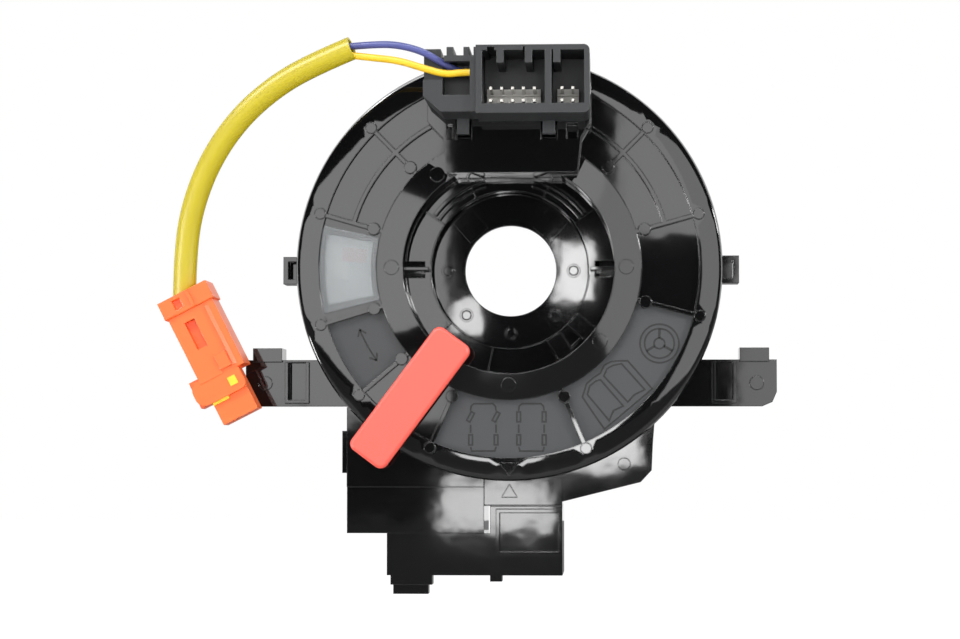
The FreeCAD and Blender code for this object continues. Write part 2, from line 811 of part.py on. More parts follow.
loom_pins("main_loom_pins", "-24.5", 6, "main_socket_upper - 5", 2)
loom_pins("airbag_loom_pins", "airbag_socket_left + 3.2", 4, "airbag_socket_upper - 6.5", 1)


def stator_cable_end():
    """Overmoulded strip that joins the ribbon to the loom's contacts."""
    return piece(block("-22 - cable_end_width / 2", "-22 + cable_end_width / 2",
                       "house_step - cable_end_height / 2", "house_step + cable_end_height / 2",
                       "house_rear", "house_rear + 12"), "stator_cable_end")


stator_cable_end()


# Cable chamber: roller carrier, rollers, centre mark and ribbon

CARRIER_REAR = "cover_front + slip_thick + 0.1"
CARRIER_FRONT = "cover_front + slip_thick + 0.1 + carrier_thick"


def roller_place(number):
    angle = f"(roller_start + {number} * {360 // ROLLER_COUNT})"
    return f"roller_place * cos({angle})", f"roller_place * sin({angle})"


def roller_carrier():
    ring = cut(cylinder("carrier_outer", CARRIER_REAR, CARRIER_FRONT),
               cylinder("carrier_inner", "cover_front - 1", "0"))
    posts = []
    for number in range(ROLLER_COUNT):
        x, y = roller_place(number)
        posts.append(cylinder("roller_pin", CARRIER_REAR, "roller_front", x, y))
    return piece(fused(ring, *posts), "roller_carrier")


roller_carrier()


def guide_roller(number):
    x, y = roller_place(number)
    low = f"{CARRIER_FRONT} + 0.1"
    high = "roller_front - 0.2"
    body = cut(cylinder("roller_radius", low, high, x, y),
               cylinder("roller_pin + roller_fit", "cover_front", "0", x, y))
    return piece(body, f"guide_roller_{number + 1}")


for number in range(ROLLER_COUNT):
    guide_roller(number)


def centre_mark():
    """Red flag on the post of the first roller; it shows in the window when centred."""
    angle = "(roller_start)"
    plate = spoke(angle, "mark_plate_place - mark_plate_width / 2", "mark_plate_place + mark_plate_width / 2",
                  "mark_plate_height", "roller_front", "roller_front + 0.8")
    return piece(plate, "centre_mark")


centre_mark()


def flat_cable():
    """Ribbon of flat conductors: inner turns, one U-turn and outer turns, as one solid."""
    low, high = "ribbon_rear", "ribbon_front"
    inner = cut(cylinder("drum_radius + ribbon_gap + inner_turns", low, high),
                cylinder("drum_radius + ribbon_gap", f"{low} - 1", f"{high} + 1"))
    outer_face = "case_radius - case_wall - ribbon_gap"
    outer = cut(cylinder(outer_face, low, high),
                cylinder(f"{outer_face} - outer_turns", f"{low} - 1", f"{high} + 1"))
    inner_face = "drum_radius + ribbon_gap + inner_turns"
    bend = f"(({outer_face} - outer_turns) - ({inner_face})) / 2"
    band = cut(cylinder(f"{bend} + 0.15", low, high), cylinder(f"{bend} - ribbon_thick", f"{low} - 1", f"{high} + 1"),
               block("-20", "20", "-20", "0", f"{low} - 1", f"{high} + 1"))
    angle = size("roller_start") + 60.0
    reach = (size("case_radius") - size("case_wall") - size("outer_turns")
             + size("drum_radius") + size("inner_turns")) / 2
    band.Placement = FreeCAD.Placement(
        FreeCAD.Vector(reach * math.cos(math.radians(angle)), reach * math.sin(math.radians(angle)), 0),
        FreeCAD.Rotation(FreeCAD.Vector(0, 0, 1), angle))
    return piece(fused(inner, outer, band), "flat_cable")


flat_cable()


# Airbag lead: routes are hand-set points in the face's frame

WIRE_BLUE = [(-37.6, 51.6, 17.3), (-32.4, 52.0, 17.8), (-26.0, 51.9, 18.6), (-19.6, 50.2, 18.8),
             (-14.6, 47.2, 17.4), (-10.9, 45.5, 15.4), (-8.4, 45.5, 15.4)]
WIRE_YELLOW = [(-37.6, 49.6, 17.3), (-32.0, 48.9, 18.0), (-25.2, 48.0, 18.8), (-19.2, 46.0, 19.2),
               (-14.2, 44.6, 18.9), (-10.6, 45.1, 18.6), (-8.4, 45.1, 18.6)]
SLEEVE = [(-36.6, 51.3, 17.4), (-45.4, 47.9, 16.0), (-54.6, 43.2, 14.4), (-63.6, 36.0, 12.6),
          (-70.8, 26.6, 10.8), (-75.6, 15.8, 9.2), (-77.9, 4.6, 7.8), (-78.2, -7.6, 7.0)]


def tube(points, diameter, label):
    """A round cord along straight runs that are joined by tangent arcs."""
    route = [FreeCAD.Vector(*point) for point in points]
    edges = []
    start = route[0]
    radii = []
    for before, corner, after in zip(route, route[1:], route[2:]):
        back = (before - corner)
        ahead = (after - corner)
        shorter = min(back.Length, ahead.Length)
        back.normalize()
        ahead.normalize()
        turn = math.pi - back.getAngle(ahead)
        radius = 0.45 * shorter / math.tan(turn / 2)
        trim = radius * math.tan(turn / 2)
        first = corner + back * trim
        last = corner + ahead * trim
        bisector = (back + ahead)
        bisector.normalize()
        middle = corner + bisector * (radius / math.cos(turn / 2) - radius)
        edges.append(Part.LineSegment(start, first).toShape())
        edges.append(Part.Arc(first, middle, last).toShape())
        radii.append(round(radius, 1))
        start = last
    edges.append(Part.LineSegment(start, route[-1]).toShape())
    path = Part.Wire(edges)
    along = route[1] - route[0]
    ring = Part.Wire([Part.Circle(route[0], along, diameter / 2).toShape()])
    solid = path.makePipeShell([ring], True, True)
    print(label, "radii", radii, "volume", round(solid.Volume, 1),
          "section x length", round(math.pi * diameter ** 2 / 4 * path.Length, 1), "length", round(path.Length, 1))
    item = doc.addObject("Part::Feature", label)
    item.Shape = solid
    return piece(item, label)


tube(WIRE_BLUE, size("wire_diameter"), "lead_wire_blue")
tube(WIRE_YELLOW, size("wire_diameter"), "lead_wire_yellow")
tube(SLEEVE, size("lead_diameter"), "lead_sleeve")


def on_plug(item, label):
    """Turn a piece of the plug to the lead's lean and put it at the lead's end."""
    item = whole(item)
    item.Placement = FreeCAD.Placement(
        FreeCAD.Vector(size("lead_plug_x"), size("lead_plug_y"), 0),
        FreeCAD.Rotation(FreeCAD.Vector(0, 0, 1), size("lead_plug_lean")))
    return piece(item, label)


def plug_collar():
    body = block("-collar_half", "collar_half", "-collar_length", "0", "lead_plug_back", "lead_plug_front")
    window = block("-collar_half + 3.4", "-collar_half + 5.4", "-collar_length + 1.2", "-1",
                   "lead_plug_front - collar_wall", "lead_plug_front + 1")
    return on_plug(cut(body, window), "airbag_plug_cap")


plug_collar()


def plug_shell():
    shell = block("-shell_half", "shell_half", "-shell_length", "-collar_length", "lead_plug_back",
                  "lead_plug_front - 0.6")
    nose = block("nose_left", "nose_right", "-nose_length", "-shell_length", "nose_back", "nose_front")
    catch = block("catch_left", "nose_left + 1", "catch_bottom", "catch_top", "nose_back + 1", "nose_front - 1")
    recess = block("-shell_half + 3.2", "-shell_half + 5.8", "-14.2", "-7", "lead_plug_front - 2.4",
                   "lead_plug_front + 1")
    window = block("lock_left - 0.1", "lock_right + 0.1", "-shell_length - 5", "-shell_length + 4",
                   "nose_front - 3", "lead_plug_front + 1")
    bores = [cylinder("contact_radius + 0.3", "0", "8", f"({sign}) * contact_pitch / 2", "0")
             for sign in ("-1", "1")]
    for bore in bores:
        bore.Placement = FreeCAD.Placement(FreeCAD.Vector(0, 0, 0), QUARTER_TURN)
        sign = "-1" if bore is bores[0] else "1"
        at(bore, f"-0.8 + ({sign}) * contact_pitch / 2", "-nose_length + 7", "(nose_front + nose_back) / 2")
    return on_plug(cut(fused(shell, nose, catch), recess, window, *bores), "airbag_plug_housing")


plug_shell()


def plug_lock():
    body = block("lock_left", "lock_right", "-shell_length - 4.9", "-shell_length + 3.9",
                 "nose_front - 3", "nose_front + 0.8")
    return on_plug(body, "airbag_plug_lock")


plug_lock()


def plug_contacts():
    contacts = []
    for sign in ("-1", "1"):
        outer = cylinder("contact_radius", "0", "5")
        outer.Placement = FreeCAD.Placement(FreeCAD.Vector(0, 0, 0), QUARTER_TURN)
        at(outer, f"-0.8 + ({sign}) * contact_pitch / 2", "-nose_length + 7", "(nose_front + nose_back) / 2")
        contacts.append(outer)
    group = doc.addObject("Part::Compound", "contacts")
    group.Links = contacts
    return on_plug(group, "airbag_plug_contacts")


plug_contacts()


# Check every piece, then write each one as its own file

doc.recompute()
for item in doc.Objects:
    if "Invalid" in item.State or "Error" in item.State:
        inputs = [used.Name for used in item.OutList]
        raise RuntimeError(f"{item.Name} ({item.TypeId}) failed: {item.getStatusString()} {inputs}")
os.makedirs("parts", exist_ok=True)
for item in pieces:
    shape = item.Shape
    if shape.isNull() or not shape.isValid():
        raise RuntimeError(f"{item.Label} has no valid shape")
    shape.exportStep(f"parts/{item.Label}.step")
    box = shape.BoundBox
    print(f"{item.Label:22s} solids {len(shape.Solids):2d} volume {shape.Volume:10.1f}"
          f"  x {box.XMin:7.1f} {box.XMax:7.1f}  y {box.YMin:7.1f} {box.YMax:7.1f}"
          f"  z {box.ZMin:7.1f} {box.ZMax:7.1f}")
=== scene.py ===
import json
import math

import bmesh
import bpy
import numpy as np
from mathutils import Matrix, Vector


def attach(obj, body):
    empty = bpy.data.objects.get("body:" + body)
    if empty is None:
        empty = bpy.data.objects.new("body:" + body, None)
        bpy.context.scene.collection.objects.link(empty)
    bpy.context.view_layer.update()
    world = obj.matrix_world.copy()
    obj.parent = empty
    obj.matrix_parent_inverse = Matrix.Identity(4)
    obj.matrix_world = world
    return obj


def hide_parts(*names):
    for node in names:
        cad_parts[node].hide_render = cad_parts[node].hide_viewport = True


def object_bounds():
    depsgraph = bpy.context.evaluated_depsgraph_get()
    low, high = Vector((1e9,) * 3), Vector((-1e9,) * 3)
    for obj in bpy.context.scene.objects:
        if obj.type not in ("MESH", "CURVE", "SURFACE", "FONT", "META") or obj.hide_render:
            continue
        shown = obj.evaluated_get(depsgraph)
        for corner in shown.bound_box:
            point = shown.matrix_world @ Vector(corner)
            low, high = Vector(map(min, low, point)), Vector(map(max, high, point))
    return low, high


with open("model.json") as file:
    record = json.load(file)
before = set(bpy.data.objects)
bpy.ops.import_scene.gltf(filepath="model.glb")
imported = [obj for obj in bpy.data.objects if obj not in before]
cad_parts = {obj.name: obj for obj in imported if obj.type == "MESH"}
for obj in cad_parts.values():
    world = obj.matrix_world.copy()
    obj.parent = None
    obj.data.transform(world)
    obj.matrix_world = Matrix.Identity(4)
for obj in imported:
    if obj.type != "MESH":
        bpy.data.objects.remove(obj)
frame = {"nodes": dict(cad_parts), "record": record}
cad_low, cad_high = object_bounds()

# Camera: a long lens square to the face, a little right of the bore and below it, so that the
# bore is seen right through. Places on the face are in millimetres: right, up, and out
# towards the driver, with zero on the rotor's turning axis and on its front face.
FACE_DEPTH = -0.0159
CAMERA_PLACE = (25.4, -42.3, 650.0)
CAMERA_AIM = (-6.95, -12.76, 0.0)
SENSOR_WIDTH = 36.0
FIELD_WIDTH = 233.3
FIELD_DISTANCE = 651.0


def spots(places):
    """Places on the face in millimetres, as an array of places in the frame in metres."""
    places = np.asarray(places, float)
    right, up, out = places[..., 0], places[..., 1], places[..., 2]
    return np.stack([right / 1000, FACE_DEPTH - out / 1000, up / 1000], axis=-1)


def stand(item, place, aim):
    """Put a camera or a lamp at a place and turn it to look at another, upright."""
    start, end = Vector(spots(place)), Vector(spots(aim))
    item.location = start
    item.rotation_mode = "QUATERNION"
    item.rotation_quaternion = (end - start).to_track_quat("-Z", "Y")
    bpy.context.scene.collection.objects.link(item)
    return item


camera = stand(bpy.data.objects.new("camera", bpy.data.cameras.new("camera")), CAMERA_PLACE, CAMERA_AIM)
camera.data.sensor_width = SENSOR_WIDTH
camera.data.lens = SENSOR_WIDTH * FIELD_DISTANCE / FIELD_WIDTH
bpy.context.scene.camera = camera
bpy.context.scene.view_settings.view_transform = "Standard"


# Airbag lead: two thin insulated wires that leave the clamp and enter an extruded vinyl sleeve,
# which hangs in one long bend down to the orange plug. The points are the route that the solids
# follow, and each line is a smooth curve through the same points.
WIRE_BLUE = [(-37.6, 51.6, 17.3), (-32.4, 52.0, 17.8), (-26.0, 51.9, 18.6), (-19.6, 50.2, 18.8),
             (-14.6, 47.2, 17.4), (-10.9, 45.5, 15.4), (-8.4, 45.5, 15.4)]
WIRE_YELLOW = [(-37.6, 49.6, 17.3), (-32.0, 48.9, 18.0), (-25.2, 48.0, 18.8), (-19.2, 46.0, 19.2),
               (-14.2, 44.6, 18.9), (-10.6, 45.1, 18.6), (-8.4, 45.1, 18.6)]
SLEEVE = [(-36.6, 51.3, 17.4), (-45.4, 47.9, 16.0), (-54.6, 43.2, 14.4), (-63.6, 36.0, 12.6),
          (-70.8, 26.6, 10.8), (-75.6, 15.8, 9.2), (-77.9, 4.6, 7.8), (-78.2, -7.6, 7.0)]
WIRE_DIAMETER = 1.7
SLEEVE_DIAMETER = 5.6
SLEEVE_WALL = 0.7


def curve_of(name, points, radius=0.0):
    """A smooth curve through listed points in millimetres, round in section where it has a radius."""
    curve = bpy.data.curves.new(name, "CURVE")
    curve.dimensions = "3D"
    curve.resolution_u = 16
    curve.bevel_depth = radius / 1000
    curve.bevel_resolution = 6
    curve.use_fill_caps = radius > 0
    spline = curve.splines.new("NURBS")
    spline.points.add(len(points) - 1)
    places = np.ones((len(points), 4))
    places[:, :3] = spots(points)
    spline.points.foreach_set("co", places.ravel())
    spline.order_u = 3
    spline.use_endpoint_u = True
    item = bpy.data.objects.new(name, curve)
    bpy.context.scene.collection.objects.link(item)
    return item


def line_of(points):
    """The places along a smooth curve, in order, in metres."""
    item = curve_of("line", points)
    mesh = bpy.data.meshes.new_from_object(item)
    places = np.empty(len(mesh.vertices) * 3)
    mesh.vertices.foreach_get("co", places)
    bpy.data.objects.remove(item)
    bpy.data.meshes.remove(mesh)
    return places.reshape(-1, 3)


def unit(vectors):
    """Vectors of length one in the same directions."""
    return vectors / np.linalg.norm(vectors, axis=-1, keepdims=True)


def carried(profile, path, closed=False):
    """Vertices and faces of a closed profile carried along a path.

    At each point of the path the profile's first number goes sideways, square to the path, and its
    second goes outwards, away from the face. A corner is mitred: both sides meet on its bisector.
    """
    path, profile = np.asarray(path, float), np.asarray(profile, float)
    ahead, back = np.roll(path, -1, 0) - path, path - np.roll(path, 1, 0)
    if not closed:
        ahead[-1], back[0] = back[-1], ahead[0]
    ahead, back = unit(ahead), unit(back)
    along = unit(ahead + back)
    outward = np.array([0.0, -1.0, 0.0])
    side = unit(np.cross(along, outward))
    rise = np.cross(side, along)
    mitre = 1 / np.clip(np.sum(side * unit(np.cross(ahead, outward)), axis=1), 0.5, 1.0)
    if profile.ndim == 2:
        profile = np.broadcast_to(profile, (len(path), *profile.shape))
    points = (path[:, None] + side[:, None] * (profile[..., :1] * mitre[:, None, None])
              + rise[:, None] * profile[..., 1:])
    rows, columns = profile.shape[:2]
    row = np.arange(rows if closed else rows - 1)
    first = (row[:, None] * columns + np.arange(columns)[None]).ravel()
    beside = (row[:, None] * columns + (np.arange(columns)[None] + 1) % columns).ravel()
    total = rows * columns
    faces = np.stack([first, beside, (beside + columns) % total, (first + columns) % total], axis=1).tolist()
    if not closed:
        faces += [list(range(columns))[::-1], list(range((rows - 1) * columns, rows * columns))]
    return points.reshape(-1, 3), faces


def mesh_of(name, parts, smooth_angle=35.0):
    """One piece from several sets of vertices and faces, with its faces pointing outwards."""
    vertices, faces, count = [], [], 0
    for points, polygons in parts:
        vertices.append(points)
        faces += [[index + count for index in polygon] for polygon in polygons]
        count += len(points)
    mesh = bpy.data.meshes.new(name)
    mesh.from_pydata(np.concatenate(vertices).tolist(), [], faces)
    work = bmesh.new()
    work.from_mesh(mesh)
    bmesh.ops.remove_doubles(work, verts=work.verts, dist=1e-7)
    bmesh.ops.recalc_face_normals(work, faces=work.faces)
    work.to_mesh(mesh)
    work.free()
    mesh.shade_smooth()
    mesh.set_sharp_from_angle(angle=math.radians(smooth_angle))
    item = bpy.data.objects.new(name, mesh)
    bpy.context.scene.collection.objects.link(item)
    return item


def ring(radius, sides=32):
    """A round profile of one radius, in metres."""
    turn = np.linspace(0, 2 * math.pi, sides, endpoint=False)
    return np.stack([np.cos(turn), np.sin(turn)], axis=1) * radius / 1000


def linear(colour):
    """An sRGB hex colour as linear red, green, blue and one."""
    channels = np.array([int(colour[i:i + 2], 16) for i in (1, 3, 5)]) / 255
    return (*np.where(channels > 0.04045, ((channels + 0.055) / 1.055) ** 2.4, channels / 12.92), 1.0)


def add_node(material, kind, settings=None, links=None, **properties):
    """Add a node to a material, with its properties, input values and linked inputs."""
    item = material.node_tree.nodes.new(kind)
    for name, value in properties.items():
        setattr(item, name, value)
    for name, value in (settings or {}).items():
        item.inputs[name].default_value = value
    for name, output in (links or {}).items():
        material.node_tree.links.new(output, item.inputs[name])
    return item


def plastic(name, colour, roughness, grain, depth, edge=0.15, tilt=0.0, **settings):
    """A moulded plastic: even colour, a surface relief of one grain, and edges rounded by the mould.

    grain is the width of the relief in millimetres, depth its height and edge the radius that the
    tool leaves on every corner. tilt is the slope of a face that dishes: the direction away from
    the turning axis, times the slope, is added to the normal, and the sum is made one long.
    """
    material = bpy.data.materials.new(name)
    material.use_nodes = True
    shader = material.node_tree.nodes["Principled BSDF"]
    shader.inputs["Base Color"].default_value = linear(colour)
    shader.inputs["IOR"].default_value = 1.5
    place = add_node(material, "ShaderNodeTexCoord").outputs["Object"]
    relief = add_node(material, "ShaderNodeTexNoise", {"Scale": 1000 / grain, "Detail": 1.5}, {"Vector": place})
    facing = add_node(material, "ShaderNodeBevel", {"Radius": edge / 1000}, samples=4)
    if tilt:
        flat = add_node(material, "ShaderNodeVectorMath", {1: (1.0, 0.0, 1.0)}, {0: place}, operation="MULTIPLY")
        radial = add_node(material, "ShaderNodeVectorMath", links={0: flat.outputs[0]}, operation="NORMALIZE")
        leaning = add_node(material, "ShaderNodeVectorMath", {1: (tilt, tilt, tilt)},
                           {0: radial.outputs[0], 2: facing.outputs[0]}, operation="MULTIPLY_ADD")
        facing = add_node(material, "ShaderNodeVectorMath", links={0: leaning.outputs[0]}, operation="NORMALIZE")
    bump = add_node(material, "ShaderNodeBump", {"Strength": 1.0, "Distance": depth / 1000},
                    {"Height": relief.outputs[0], "Normal": facing.outputs[0]})
    material.node_tree.links.new(bump.outputs[0], shader.inputs["Normal"])
    shader.inputs["Roughness"].default_value = roughness
    for socket, value in settings.items():
        shader.inputs[socket.replace("_", " ")].default_value = value
    return material


# Extruded polyvinyl chloride: soft, closed surface with a satin shine and slight ripples
sleeve_vinyl = plastic("extruded_vinyl_yellow", "#bfae12", 0.38, 5.0, 0.03, edge=0.0)
wire_blue_vinyl = plastic("extruded_vinyl_blue", "#4a5192", 0.4, 1.0, 0.01, edge=0.0)
wire_yellow_vinyl = plastic("extruded_vinyl_amber", "#f2c41c", 0.4, 1.0, 0.01, edge=0.0)


def wire(name, points, material, node):
    """One insulated wire along its points, which stands for its solid."""
    item = curve_of(name, points, WIRE_DIAMETER / 2)
    item.data.materials.append(material)
    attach(item, "rotor")
    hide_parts(node)
    return item


blue_wire = wire("blue_wire", WIRE_BLUE, wire_blue_vinyl, "lead_wire_blue")
yellow_wire = wire("yellow_wire", WIRE_YELLOW, wire_yellow_vinyl, "lead_wire_yellow")


def tube_wall(points, diameter, wall):
    """A thin-walled tube, open at both ends: outside surface, rim and inside surface in one grid."""
    path = line_of(points)
    outer, inner = ring(diameter / 2), ring(diameter / 2 - wall)
    outside, faces = carried(outer, path)
    inside, _ = carried(inner, path)
    count, sides = len(outside), len(outer)
    quads = faces[:-2]
    reversed_quads = [[index + count for index in quad[::-1]] for quad in quads]
    around = np.arange(sides)
    beside = (around + 1) % sides
    last = count - sides
    near = np.stack([around, around + count, beside + count, beside], axis=1)
    far = np.stack([around + last, beside + last, beside + last + count, around + last + count], axis=1)
    return path, (np.concatenate([outside, inside]), quads + reversed_quads + near.tolist() + far.tolist())


sleeve_path, sleeve_shape = tube_wall(SLEEVE, SLEEVE_DIAMETER, SLEEVE_WALL)
sleeve = mesh_of("vinyl_sleeve", [sleeve_shape], smooth_angle=50.0)
sleeve.data.materials.append(sleeve_vinyl)
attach(sleeve, "rotor")
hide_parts("lead_sleeve")


# Materials of the other pieces. Black mouldings are glass-filled polyester from a polished tool:
# the skin is glossy, with faint flow waves a centimetre or so apart that bend every reflection.
gloss_black = plastic("moulded_polyester_black", "#0b0b0c", 0.035, 9.0, 0.02, edge=0.3)
# The ring between the hub well and the panels, which dishes about three degrees
annulus_black = plastic("dished_polyester_black", "#0b0b0c", 0.035, 9.0, 0.015, edge=0.4, tilt=0.055)
# The case is a thinner, larger moulding, so it has more sink and its faces are wavier
case_black = plastic("sunken_polyester_black", "#0b0b0c", 0.045, 9.0, 0.035, edge=0.25)
# Raised lines of the symbols, stoned but not polished
line_black = plastic("stoned_polyester_black", "#101113", 0.42, 0.5, 0.005, edge=0.08)
# The same plastic where the tool was spark eroded: a fine grain that scatters the light
grain_black = plastic("spark_eroded_polyester_black", "#36383a", 0.55, 0.35, 0.03, edge=0.15)
# Dark grey moulding of the connector, from a finely sparked tool
connector_grey = plastic("moulded_polyester_grey", "#26282a", 0.42, 0.3, 0.02, edge=0.2)
strip_white = plastic("moulded_nylon_natural", "#dcdad4", 0.4, 0.5, 0.01, edge=0.1)
coral = plastic("moulded_polyethylene_coral", "#fb5f50", 0.42, 3.0, 0.03, edge=0.5)
orange = plastic("moulded_polyester_orange", "#fa6a20", 0.36, 2.0, 0.015, edge=0.2)
lock_yellow = plastic("moulded_polyester_yellow", "#e8cc1f", 0.35, 2.0, 0.015, edge=0.15)
acetal = plastic("moulded_acetal_natural", "#d8d6cc", 0.35, 1.0, 0.01, edge=0.15)
pane_clear = plastic("moulded_polycarbonate_smoked", "#a9aeb1", 0.06, 6.0, 0.01, edge=0.2, Alpha=0.3)
film_clear = plastic("calendered_polyester_film", "#b9bebf", 0.15, 6.0, 0.01, edge=0.02, Alpha=0.35)
ribbon = plastic("laminated_ribbon_cable", "#8f6a3a", 0.3, 1.0, 0.01, edge=0.05)
flag_red = plastic("moulded_polyester_red", "#c43a2c", 0.4, 1.0, 0.01, edge=0.1)


def metal(name, colour, roughness):
    """A plated metal: fine draw marks along the contact."""
    material = bpy.data.materials.new(name)
    material.use_nodes = True
    shader = material.node_tree.nodes["Principled BSDF"]
    shader.inputs["Base Color"].default_value = linear(colour)
    shader.inputs["Metallic"].default_value = 1.0
    place = add_node(material, "ShaderNodeTexCoord").outputs["Object"]
    marks = add_node(material, "ShaderNodeTexNoise", {"Scale": 4000.0, "Detail": 2.0}, {"Vector": place})
    spread = add_node(material, "ShaderNodeMapRange", {"To Min": roughness - 0.08, "To Max": roughness + 0.08},
                      {"Value": marks.outputs[0]})
    material.node_tree.links.new(spread.outputs[0], shader.inputs["Roughness"])
    return material


tinned = metal("tinned_brass", "#cfcdc6", 0.3)


# Mouldings of the disc, hub, case, connector, strap and plug: each keeps the form of its solid.
# The tool leaves a small radius on every edge: the strap and the plug's cap, whose edges are soft
# enough to see, get a real one, and the others get theirs from the material.
def rounded(node, name, materials, width, smooth_angle=32.0):
    """A merged copy of a solid that stands for it, with its sharp edges rounded by a width.

    Edges are sharp where two faces meet at more than the angle. Every corner takes its shading
    from the largest face that meets there, so that flat faces stay flat.
    """
    merged = bpy.data.meshes.new(name)
    work = bmesh.new()
    work.from_mesh(frame["nodes"][node].data)
    bmesh.ops.remove_doubles(work, verts=work.verts, dist=2e-6)
    bmesh.ops.triangulate(work, faces=work.faces)
    work.to_mesh(merged)
    work.free()
    places, corners = np.empty(len(merged.vertices) * 3), np.empty(len(merged.loops), dtype=np.int32)
    merged.vertices.foreach_get("co", places)
    merged.loops.foreach_get("vertex_index", corners)
    bpy.data.meshes.remove(merged)
    mesh = bpy.data.meshes.new(name)
    mesh.from_pydata(places.reshape(-1, 3).tolist(), [], corners.reshape(-1, 3).tolist())
    if width:
        work = bmesh.new()
        work.from_mesh(mesh)
        bmesh.ops.dissolve_limit(work, angle_limit=math.radians(1.0), verts=work.verts, edges=work.edges)
        work.to_mesh(mesh)
        work.free()
    for material in materials:
        mesh.materials.append(material)
    mesh.shade_smooth()
    mesh.set_sharp_from_angle(angle=math.radians(smooth_angle))
    item = bpy.data.objects.new(name, mesh)
    bpy.context.scene.collection.objects.link(item)
    if width:
        bevel = item.modifiers.new("rounding", "BEVEL")
        bevel.width = width / 1000
        bevel.segments = 2
        bevel.limit_method = "ANGLE"
        bevel.angle_limit = math.radians(smooth_angle)
    shading = item.modifiers.new("shading", "WEIGHTED_NORMAL")
    shading.weight = 100
    shading.keep_sharp = True
    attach(item, next(body for body, nodes in frame["record"]["behaviour"]["bodies"].items() if node in nodes))
    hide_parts(node)
    return item


disc = rounded("rotor_disc", "rotor_moulding", [gloss_black, grain_black, annulus_black], 0.0)
rounded("hub_sleeve", "hub_moulding", [gloss_black], 0.0)
rounded("stator_case", "case_moulding", [case_black], 0.0)
rounded("rear_cover", "cover_moulding", [gloss_black], 0.0)
rounded("switch_connector", "connector_moulding", [connector_grey], 0.0)
rounded("lead_clamp", "clamp_moulding", [connector_grey], 0.0)
rounded("lock_tab", "lock_tab_moulding", [coral], 0.9)
plug_body = rounded("airbag_plug_housing", "plug_moulding", [orange], 0.0)
plug_cap = rounded("airbag_plug_cap", "plug_cap_moulding", [orange], 0.2)

# Contacts, their strips, films, pane, ribbon, rollers and cable ends: the solid's own form in the
# material of the real piece
FINISHES = {
    "header_wide": strip_white, "header_narrow": strip_white, "pins_wide": tinned, "pins_narrow": tinned,
    "main_loom_pins": tinned, "airbag_loom_pins": tinned, "airbag_plug_contacts": tinned,
    "airbag_plug_lock": lock_yellow, "sight_window": pane_clear, "front_slip_sheet": film_clear,
    "rear_slip_sheet": film_clear, "flat_cable": ribbon, "centre_mark": flag_red, "cancel_cam": acetal,
    "roller_carrier": acetal, "rotor_cable_end": acetal, "stator_cable_end": acetal,
}
FINISHES.update({f"guide_roller_{number}": acetal for number in range(1, 7)})
for node, material in FINISHES.items():
    mesh = frame["nodes"][node].data
    mesh.materials.clear()
    mesh.materials.append(material)


# Rotor disc's finish: three panels come from a sparked area of the tool, so they look matte beside
# the polished ones. Their pictures are plain lines, moulded with the disc, that stand a little proud.
WELL_EDGE = 25.85
PANEL_INNER = 32.2
PANEL_OUTER = 46.5
PANEL_DEPTH = 1.2
MATTE_SECTORS = [(197.7, 219.8), (247.1, 292.4), (293.8, 344.8)]
LINE_WIDTH = 0.42
LINE_HEIGHT = 0.06


def assign(mesh, slot, inner, outer, low, high, sectors=((0.0, 360.0),)):
    """Put the faces of a ring into a material slot: between two radii, two heights and some angles."""
    centres = np.empty(len(mesh.polygons) * 3)
    mesh.polygons.foreach_get("center", centres)
    right, back, up = centres.reshape(-1, 3).T * 1000
    radius, angle = np.hypot(right, up), np.degrees(np.arctan2(up, right)) % 360
    out = FACE_DEPTH * 1000 - back
    chosen = (radius > inner) & (radius < outer) & (out > low) & (out < high)
    chosen &= np.any([(angle > start) & (angle < end) for start, end in sectors], axis=0)
    slots = np.empty(len(mesh.polygons), dtype=np.int32)
    mesh.polygons.foreach_get("material_index", slots)
    slots[chosen] = slot
    mesh.polygons.foreach_set("material_index", slots)


assign(disc.data, 1, PANEL_INNER, PANEL_OUTER, -PANEL_DEPTH - 0.05, -PANEL_DEPTH + 0.05, MATTE_SECTORS)
assign(disc.data, 2, WELL_EDGE, PANEL_INNER, -0.05, 0.05, [(0.0, 54.0), (126.0, 360.0)])


def arc(right, up, radius, start, end, count=24):
    """Places along an arc about a centre, from one angle to another in degrees."""
    turn = np.radians(np.linspace(start, end, count))
    return np.stack([right + radius * np.cos(turn), up + radius * np.sin(turn)], axis=1).tolist()


def line_on(places, level, closed=False, width=LINE_WIDTH, height=LINE_HEIGHT):
    """A raised line through places on a face that lies at one level."""
    half = width / 2000
    profile = [(-half, -1e-5), (half, -1e-5), (half, height / 1000), (-half, height / 1000)]
    return carried(profile, spots([(*place, level) for place in places]), closed)


def slab(outline, low, high, upper=None):
    """A flat piece with one outline between two levels; upper is another outline for its top."""
    count = len(outline)
    levels = [np.column_stack([outline, np.full(count, low)]),
              np.column_stack([upper or outline, np.full(count, high)])]
    around = np.arange(count)
    beside = (around + 1) % count
    sides = np.stack([around, beside, beside + count, around + count], axis=1).tolist()
    return spots(np.concatenate(levels)), [around[::-1].tolist(), (around + count).tolist(), *sides]


def polar(radius, angle):
    """The place on the face at a radius and at an angle in degrees."""
    return radius * math.cos(math.radians(angle)), radius * math.sin(math.radians(angle))


def block_at(right, up, width, height, turn=0.0):
    """The corners of a rectangle about a centre, turned by an angle in degrees."""
    angle = math.radians(turn)
    corners = [(-width / 2, -height / 2), (width / 2, -height / 2), (width / 2, height / 2), (-width / 2, height / 2)]
    return [(right + x * math.cos(angle) - y * math.sin(angle), up + x * math.sin(angle) + y * math.cos(angle))
            for x, y in corners]


def part_of(name, parts, material, body="rotor"):
    """A finished piece from its parts, riding with one body."""
    item = mesh_of(name, parts)
    item.data.materials.append(material)
    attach(item, body)
    return item


